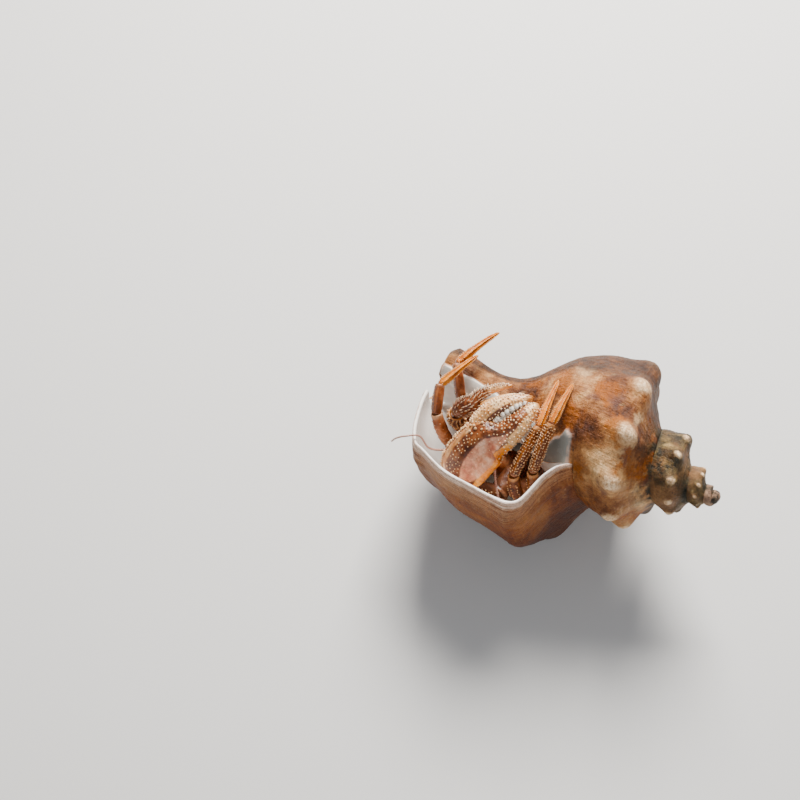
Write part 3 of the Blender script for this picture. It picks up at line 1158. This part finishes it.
def makeMajorClaw():
    claw = claws["major_claw"]
    course = clawCourse(claw, "palm", 2)
    palm, (share, sideways, upwards) = growTube("major_claw_palm", course, 16, 3)
    upper = above(upwards, -0.1, 0.5)
    inPalm = above(share, 0.08, 0.1) * below(share, 0.62, 0.12)
    hollow = hollowAt(share, sideways) * upper
    lift = 0.55 * hump(sideways, -0.9, 0.12) * inPalm - bigHollow["depth"] * hollow
    lift += (0.7 * hump(sideways, 0.86, 0.13) + 0.35 * hump(sideways, -0.3, 0.2)) * inPalm * upper
    pushOut(palm, lift + 0.16 * roughOf(palm, 330) + 0.1 * roughOf(palm, 900))
    tan = below(sideways, -0.66, 0.16) * below(share, 0.66, 0.1)
    # the fixed finger is pale only along its outer side and tip
    cream = above(share, 0.6, 0.1) * np.maximum(above(sideways, 0.25, 0.4), above(share, 0.86, 0.06))
    palmSkin = finishClaw(
        palm, course, "major_claw_palm",
        tanZone=np.maximum(tan, 0.75 * (1 - upper) * below(share, 0.7, 0.1)),
        orangeZone=above(sideways, 0.66, 0.14) * below(share, 0.72, 0.08),
        mauveZone=above(hollow, 0.12, 0.3),
        creamZone=cream,
        tipZone=above(share, 0.965, 0.03),
    )

    course = clawCourse(claw, "finger", 3)
    course[0]["wide"] *= 0.6
    course[0]["deep"] *= 0.6
    finger, (share, sideways, upwards) = growTube("major_claw_finger", course, 14, 3)
    lift = 0.3 * hump(sideways, -0.6, 0.25) * above(share, 0.05, 0.1) * (upwards > 0)
    lift -= 0.35 * hump(sideways, 0.15, 0.3) * above(upwards, 0.2, 0.4) * below(share, 0.5, 0.2)
    pushOut(finger, lift + 0.12 * roughOf(finger, 400) + 0.08 * roughOf(finger, 1000))
    brown = below(share, 0.74, 0.1) * above(sideways, 0.15, 0.35) * above(share, 0.12, 0.1)
    fingerSkin = finishClaw(
        finger, course, "major_claw_finger",
        creamZone=1 - 0.95 * brown - 0.5 * below(upwards, -0.2, 0.4),
        lilacZone=hump(share, 0.16, 0.1) * hump(sideways, 0.35, 0.4) * (upwards > 0),
        tipZone=above(share, 0.86, 0.1),
    )

    # the palm's own grains first, then those of the fixed and the moving finger
    fixedFrom = 0.62
    spots = sow(palmSkin, 5600, lambda share, angle: onPalm(share, angle) if share < fixedFrom else noGrains)
    fingerSpots = sow(palmSkin, 3400, lambda share, angle: onPalm(share, angle) if share >= fixedFrom else noGrains)
    spots += inRows(palmSkin, (math.pi, math.pi - 0.24), 0.1, 0.62, 24, 0.95, 1.25, 0.9, 0.05)
    fingerSpots += sow(fingerSkin, 1700, onFinger)
    fingerSpots += inRows(fingerSkin, [math.pi - 0.15], 0.06, 0.85, 24, 0.75, 0.8, 0.9, 0.05)
    settle(scatter("major_claw_grains", spots), "claw_grains", finishes["grain"])
    settle(scatter("finger_grains", fingerSpots), "claw_grains", finishes["finger_grain"])
    teeth = inRows(palmSkin, [math.pi - 0.35], 0.67, 0.94, 8, 2.0, 1.4, 0.0, 0.02)
    teeth += inRows(fingerSkin, [0.45], 0.34, 0.88, 8, 1.8, 1.3, 0.0, 0.02)
    settle(scatter("major_claw_teeth", teeth), "claw_grains", finishes["tooth"])


def makeMinorClaw():
    claw = claws["minor_claw"]
    course = clawCourse(claw, "palm", 3)
    palm, (share, _, _) = growTube("minor_claw_palm", course, 12, 3)
    pushOut(palm, 0.14 * roughOf(palm, 420) + 0.1 * roughOf(palm, 1100))
    pale = above(share, 0.56, 0.14)
    tip = 0.7 * above(share, 0.93, 0.06)
    skin = finishClaw(palm, course, "minor_claw_palm", tanZone=pale, creamZone=0.55 * pale, tipZone=tip)
    spines = inRows(skin, (0.1, 0.6, 1.1, 1.6, 2.1, 2.6, 3.1, 3.6), 0.1, 0.62, 14, 0.36, 1.75, 1.5, 0.14)
    spines += inRows(skin, (1.9, 2.4, 2.9, 3.4), 0.6, 0.93, 14, 0.5, 0.55, 0.8, 0.08)
    course = clawCourse(claw, "finger", 3)
    finger, (share, _, upwards) = growTube("minor_claw_finger", course, 12, 2)
    zones = {"tanZone": 1 + 0 * share, "creamZone": 0.5 * (upwards > 0), "tipZone": 0.7 * above(share, 0.9, 0.08)}
    skin = finishClaw(finger, course, "minor_claw_finger", **zones)
    spines += inRows(skin, [1.2], 0.1, 0.85, 12, 0.45, 0.35, 0.8, 0.2)
    settle(scatter("minor_claw_spines", spines), "claw_grains", finishes["spine"])


def makeClawArm(name, finish):
    # upper arm and wrist piece of a claw
    claw = claws[name]
    joints = [place(*joint) for joint in claw["joints"]]
    for i, length in enumerate(limbLengths[:2]):
        course = segmentCourse(joints[i], joints[i + 1], claw["sizes"][i:i + 2], segmentProfile)
        skin = growSegment(f"{name}_{length}", course, finish, levels=3, cup=1.0 * mm)
    return inRows(skin, (0.0, 0.5, 1.0, 1.5, 2.0, 2.5, 3.0, 3.5, 5.8), 0.12, 0.92, 9, 0.62, 0.8, 0.9, 0.14)


armRows = makeClawArm("major_claw", "upper") + makeClawArm("minor_claw", "minor")
settle(scatter("claw_arm_grains", armRows), "claw_grains", finishes["grain"])
makeMajorClaw()
makeMinorClaw()
print("claws done")


# body: it follows the hollow back round the axis, as in the solids; turns are whorls from the lip
bodyShape = {
    "faceTurn": -0.085, "step": 0.16, "folds": 15, "foldDepth": 0.16, "tail": (-0.828, -0.880),
    "path": ((20.5, 78.0), (20.5, 66.0), (19.3, 57.0), (17.2, 50.5), (15.2, 45.0), (13.3, 40.5)),
    "shieldTurns": (-0.085, -0.210), "shieldSizes": ((5.2, 6.6, 6.9), (3.5, 4.7, 4.9)), "softTurns": (-0.205, -0.832),
    "softSizes": (
        (6.6, 7.2, 6.9, 6.8, 7.2, 6.8, 6.7, 6.3, 5.6, 5.5, 4.7, 3.6),
        (4.7, 5.4, 5.5, 5.6, 6.3, 6.1, 6.0, 5.6, 4.9, 4.8, 4.0, 3.1),
    ),
}
bothSides = {"left": -1.0, "right": 1.0}


def bodyFrame(turn):
    b = bodyShape
    last = len(b["path"]) - 1
    spot = (b["faceTurn"] - turn) / (b["step"] * last) * last
    radius, along = curveThrough(b["path"], np.array([max(spot, 0)]))[0]
    angle = lipAngle - 2 * math.pi * turn
    up = asideWay * math.sin(angle) + outWay * math.cos(angle)
    forward = outWay * math.sin(angle) - asideWay * math.cos(angle)
    return spiralStart + (axisWay * -along + up * radius) * mm, up, forward


def bodyCourse(start, end, sizes, count, shrink=1.0):
    # sizes are half widths and half depths, spread evenly from start to end
    stations = []
    for f in np.linspace(0, 1, count):
        wide, deep = (curveThrough(np.array([half]).T, np.array([f * (len(half) - 1)]))[0, 0] for half in sizes)
        closing = min(1.0, 0.45 + min(f, 1 - f) * 9) * shrink
        stations.append((bodyFrame(start + (end - start) * f)[0], wide * mm * closing, deep * mm * closing))
    return courseOf(stations, axisWay, 2)


def makeSoftBody():
    b = bodyShape
    course = bodyCourse(*b["softTurns"], b["softSizes"], 24, 0.985)
    skin, (share, sideways, upwards) = growTube("soft_body", course, 16, 2)
    wander = 0.25 * np.sin(3 * sideways) + 0.5 * roughOf(skin, 90)
    folds = np.sin(2 * np.pi * (share * b["folds"] + wander)) * smoothStep(share / 0.06) * below(share, 1, 0.06)
    folds = folds * (0.55 + roughOf(skin, 60)) * (0.4 + 0.6 * above(upwards, -0.3, 0.8))
    pushOut(skin, b["foldDepth"] * folds + 0.35 * roughOf(skin, 150) + 0.12 * roughOf(skin, 500))
    giveTraits(skin, fold=folds, share=share)
    finish, shader = newFinish("soft_skin_finish", 0.34, 0.2)
    blotch = mottle(170, 5, 0.6)
    colour = shades(blotch, (0.35, (0.32, 0.12, 0.075)), (0.5, (0.50, 0.245, 0.165)), (0.65, (0.62, 0.37, 0.27)))
    colour = patches(colour, trait("fold"), 0.1, -0.9, 0.55, (0.24, 0.07, 0.05))
    veins = mottle(420, 4, 0.7, 6.0)
    colour = patches(colour, veins, 0.56, 0.62, 0.5, (0.36, 0.09, 0.07))
    colour = darken(colour, mottle(1500, 2, 0.6, 2.0), 0.88, 1.12)
    dress(shader, {"Base Color": colour, "Subsurface Weight": 0.12, "Subsurface Scale": 0.001},
          (mottle(700, 4), 0.15, 0.5), (mottle(2200, 3), 0.06, 0.5))
    settle(skin, "soft_skin", finish, "thorax", "abdomen_front", "abdomen_middle", "abdomen_rear")


def makeShield():
    course = bodyCourse(*bodyShape["shieldTurns"], bodyShape["shieldSizes"], 12)
    shield, (share, sideways, upwards) = growTube("shield_plate", course, 16, 3)
    top = above(upwards, 0.1, 0.4)
    beside = np.abs(sideways)
    groove = hump(share - 0.16 * sideways ** 2, 0.68, 0.035) + 0.7 * hump(beside + 0.25 * share, 0.55, 0.06)
    scales = np.abs(np.sin(share * 70 + 5 * roughOf(shield, 300))) * above(beside, 0.35, 0.3)
    pushOut(shield, -0.5 * groove * top + 0.12 * scales * top + 0.2 * roughOf(shield, 260))
    giveTraits(shield, share=0.5 + 0 * share, ridge=scales * top)
    settle(shield, "shield", finishes["shield"], "shield")


def makeTailFan():
    # the middle plate and a hooked side plate each side, on the last ring of the body
    start, end = bodyShape["tail"]
    parts = []
    for name, side, spread, size in (("middle", 0.0, 0.0, 1.0), ("left", -1.0, 2.0, 0.62), ("right", 1.0, 1.7, 0.5)):
        stations = []
        for f, wide, deep in ((0.0, 1.6, 1.5), (0.2, 2.6, 1.7), (0.5, 2.9, 1.4), (0.8, 2.2, 0.9), (1.0, 0.9, 0.5)):
            middle, up, _ = bodyFrame(start + (end - start) * f)
            spot = middle + (axisWay * (side * spread * (0.6 + 0.5 * f)) + up * (0.5 * abs(side) * f)) * mm
            stations.append((spot, wide * size * mm, deep * size * mm))
        parts.append(growTube("tail_" + name, courseOf(stations, axisWay, 2), 10, 2)[0])
    choose(*parts)
    bpy.ops.object.join()
    fan = bpy.context.object
    fan.name = fan.data.name = "tail_fan_plates"
    giveTraits(fan, share=np.full(len(fan.data.vertices), 0.5), ridge=np.clip(roughOf(fan, 900), 0, 1))
    settle(fan, "shield", finishes["upper"], "tail_fan")


# two short pairs that hold the shell from inside: turn, beside the body, reach forwards, half thickness
smallLegs = {"leg4": (-0.265, 8.9, 4.5, 0.9), "leg5": (-0.315, 8.3, 4.0, 0.7)}
# along their reach: outwards, upwards and the thickness
smallLegWays = (
    (0.0, 0.0, 0.0, 0.8), (0.3, 0.3, 0.5, 1.1), (0.5, 0.6, 1.0, 1.05), (0.62, 0.6, 1.3, 0.8), (0.8, 0.4, 1.9, 0.85),
    (1.0, 0.0, 2.6, 0.5),
)


def makeSmallLegs():
    for name, (turn, beside, reach, half) in smallLegs.items():
        for word, side in bothSides.items():
            middle, up, forward = bodyFrame(turn)
            start = middle + (axisWay * (side * beside) + up) * mm
            stations = []
            for f, out, lift, thick in smallLegWays:
                spot = start + (forward * reach * f + axisWay * (side * out) + up * lift) * mm
                stations.append((spot, half * thick * mm, half * thick * mm))
            course = courseOf(stations, forward.cross(axisWay), 2)
            growSegment(f"{name}_{word}_small", course, "upper", 10, node=f"{name}_{word}")


makeSoftBody()
makeShield()
makeTailFan()
makeSmallLegs()
print("body done")


# the face, in its own directions: to its side, up, forward and the half thickness there
faceShape = {
    "eyestalk": (
        (2.1, 1.1, 0.0, 1.0), (2.15, 1.15, 0.8, 1.3), (2.4, 1.25, 2.2, 1.18), (2.7, 1.35, 3.8, 1.1),
        (2.95, 1.5, 5.6, 1.28), (3.1, 1.6, 7.0, 1.5), (3.14, 1.62, 7.5, 1.35),
    ),
    "ocular_scale": ((1.5, 2.3, 0.0, 0.7), (1.6, 2.6, 0.9, 1.0), (1.75, 2.75, 2.0, 0.75), (1.85, 2.8, 3.0, 0.2)),
    "antennule": (
        (0.9, -1.2, 0.0, 0.5), (1.0, -1.3, 1.4, 0.62), (1.1, -1.4, 2.6, 0.5), (1.15, -1.45, 2.8, 0.58),
        (1.2, -1.5, 4.5, 0.5), (1.25, -1.45, 4.8, 0.42), (1.35, -1.2, 6.6, 0.4), (1.45, -0.8, 8.2, 0.34),
        (1.5, -0.5, 9.3, 0.14),
    ),
    "antenna_base": (
        (4.1, -0.9, 0.0, 1.0), (4.3, -0.95, 0.8, 1.35), (4.6, -1.0, 2.0, 1.42), (4.75, -1.05, 2.4, 1.15),
        (4.95, -1.1, 3.6, 1.3), (5.1, -1.1, 4.4, 1.12), (5.15, -1.08, 4.7, 0.9), (5.4, -1.05, 5.8, 0.95),
        (5.6, -1.0, 6.6, 0.8),
    ),
    "antenna_scale": (
        (4.4, 1.75, 0.0, 0.6), (4.6, 1.85, 1.2, 0.95), (5.0, 2.0, 3.6, 0.72), (5.2, 2.2, 5.6, 0.45),
        (5.3, 2.35, 7.6, 0.12),
    ),
    "maxilliped": (
        (1.7, -3.6, 0.0, 1.0), (1.85, -4.0, 1.4, 1.35), (2.0, -4.3, 2.6, 1.1), (2.05, -4.4, 3.0, 1.25),
        (2.1, -4.6, 4.6, 1.05), (2.05, -4.65, 5.0, 0.85), (1.95, -4.6, 6.2, 0.8), (1.9, -4.5, 7.1, 0.4),
    ),
    "eye": (
        (3.12, 1.61, 7.15, 1.2), (3.14, 1.62, 7.4, 1.52), (3.2, 1.66, 8.2, 1.66), (3.3, 1.7, 9.0, 1.45),
        (3.38, 1.74, 9.6, 0.9), (3.4, 1.76, 9.85, 0.35),
    ),
}
feelers = {
    "left": (
        (87.0, 22.5, 17.5), (91.5, 25.0, 22.5), (94.5, 22.6, 28.6), (98.2, 24.6, 31.0), (101.4, 26.6, 29.2),
        (104.2, 28.5, 24.0),
    ),
    "right": ((69.5, 22.5, 16.0), (65.5, 29.0, 15.5), (62.0, 34.0, 11.0), (60.0, 36.5, 4.0), (59.0, 36.5, -4.0)),
}
feelerShape = {"thick": 0.35, "rings": 62, "stepsPerRing": 4}
# slot, dark, light and tip colours, and roughness
faceLooks = {
    "eyestalk": ("eyestalk", (0.44, 0.24, 0.18), (0.68, 0.50, 0.42), (0.60, 0.36, 0.26), 0.3),
    "ocular_scale": ("eyestalk", (0.42, 0.20, 0.12), (0.66, 0.46, 0.34), (0.74, 0.60, 0.50), 0.35),
    "antennule": ("antennule", (0.30, 0.12, 0.05), (0.56, 0.32, 0.17), (0.50, 0.22, 0.10), 0.35),
    "antenna_base": ("antenna_base", (0.36, 0.11, 0.025), (0.64, 0.28, 0.09), (0.60, 0.24, 0.07), 0.32),
    "antenna_scale": ("antenna_scale", (0.48, 0.34, 0.27), (0.74, 0.62, 0.54), (0.62, 0.38, 0.24), 0.38),
    "mouthpart": ("mouthparts", (0.34, 0.12, 0.04), (0.60, 0.33, 0.15), (0.66, 0.40, 0.20), 0.36),
    "flagellum": ("flagellum", (0.30, 0.11, 0.075), (0.56, 0.31, 0.23), (0.50, 0.27, 0.20), 0.4),
}
# rows of hairs: angles, first, last, count, width, height, lean and wander
faceHairs = {
    "maxilliped": ((1.2, 1.57, 1.95, 3.6, 4.4, 5.2), 0.1, 0.98, 22, 0.14, 1.3, 1.0, 0.2),
    "antenna_scale": ((0.0, math.pi), 0.15, 0.98, 20, 0.12, 0.9, 1.4, 0.15),
    "antenna_base": ((0.3, 2.8), 0.1, 0.9, 9, 0.2, 0.5, 1.2, 0.3),
}


def facePlace(side, up, forward):
    middle, upThere, forwardThere = bodyFrame(bodyShape["faceTurn"])
    return middle + (axisWay * side + upThere * up + forwardThere * forward) * mm


def makeFaceFinish(name, dark, light, tip, roughness):
    finish, shader = newFinish(name, roughness, 0.3)
    blotch = mottle(600, 5, 0.6)
    colour = shades(blotch, (0.36, dark), (0.62, light))
    colour = patches(colour, trait("share"), 0.55, 1.0, 0.6, tip)
    colour = over(times(trait("ridge"), 0.6), colour, light)
    colour = darken(colour, mottle(2400, 3, 0.6, 2.0), 0.85, 1.15)
    dress(shader, {"Base Color": colour}, (blotch, 0.08, 0.4), (pits(3500), 0.05, 0.5))
    return finish


def makeCorneaFinish():
    # nearly black green, finely faceted under a clear coat
    finish, shader = newFinish("cornea_finish", 0.12, 1.0)
    facets = pits(9000)
    colour = shades(mottle(500, 4), (0.38, (0.004, 0.007, 0.005)), (0.62, (0.02, 0.03, 0.018)))
    colour = over(fade(trait("share"), 0.1, 0.02), colour, (0.30, 0.18, 0.12))
    dress(shader, {"Base Color": darken(colour, facets, 0.8, 1.3)}, (facets, 0.02, 0.35))
    return finish


faceFinishes = {name: (slot, makeFaceFinish(f"{name}_finish", *look)) for name, (slot, *look) in faceLooks.items()}
faceFinishes["maxilliped"] = faceFinishes.pop("mouthpart")
faceFinishes["eye"] = ("cornea", makeCorneaFinish())


def makeFacePart(name, word, side):
    # one part of the face and its hairs
    flat = 0.5 if name.endswith("scale") else 1.0
    stations = [(facePlace(side * x, y, z), half * mm, half * flat * mm) for x, y, z, half in faceShape[name]]
    course = courseOf(stations, axisWay, 3)
    piece, (share, _, _) = growTube(f"{name}_{word}_piece", course, 12, 2)
    if name != "eye":
        pushOut(piece, 0.05 * roughOf(piece, 900) + 0.05 * roughOf(piece, 2200))
    giveTraits(piece, share=share, ridge=smoothStep(np.cos(share * 40) - 0.2) * (name == "antennule"))
    solids = [] if name == "ocular_scale" else [f"{name}_{word}"]
    settle(piece, *faceFinishes[name], *solids)
    return inRows(skinOf(piece, course), *faceHairs[name]) if name in faceHairs else []


def makeFeeler(word, side):
    # a ringed whip from the end of the antenna's base
    x, y, z, _ = faceShape["antenna_base"][-1]
    spots = [facePlace(side * x, y, z - 0.2), facePlace(side * (x + 0.8), y, z + 3.0)]
    spots += [place(*spot) for spot in feelers[word]]
    steps = feelerShape["rings"] * feelerShape["stepsPerRing"]
    route = curveThrough([tuple(spot) for spot in spots], np.linspace(0, len(spots) - 1, steps + 1))
    stations = []
    for k, spot in enumerate(route):
        thick = feelerShape["thick"] + 0.2 * (1 - k / steps) ** 2
        thick *= (1 + 0.13 * math.sin(k * math.pi / 2 + 0.4)) * min(1, 0.3 + (steps - k) / 8)
        stations.append((Vector(spot), thick * mm, thick * mm))
    course = courseOf(stations, axisWay, 1)
    feeler, (share, _, _) = growTube(f"feeler_{word}", course, 6, 1)
    giveTraits(feeler, share=share, ridge=0.5 + 0.5 * np.sin(share * steps * math.pi / 2 + 0.4))
    settle(feeler, *faceFinishes["flagellum"], f"antenna_flagellum_{word}")


hairs = []
for name in faceShape:
    for word, side in bothSides.items():
        hairs += makeFacePart(name, word, side)
for word, side in bothSides.items():
    makeFeeler(word, side)
settle(scatter("face_bristles", hairs), "mouthparts", finishes["dot"])
print("face done")
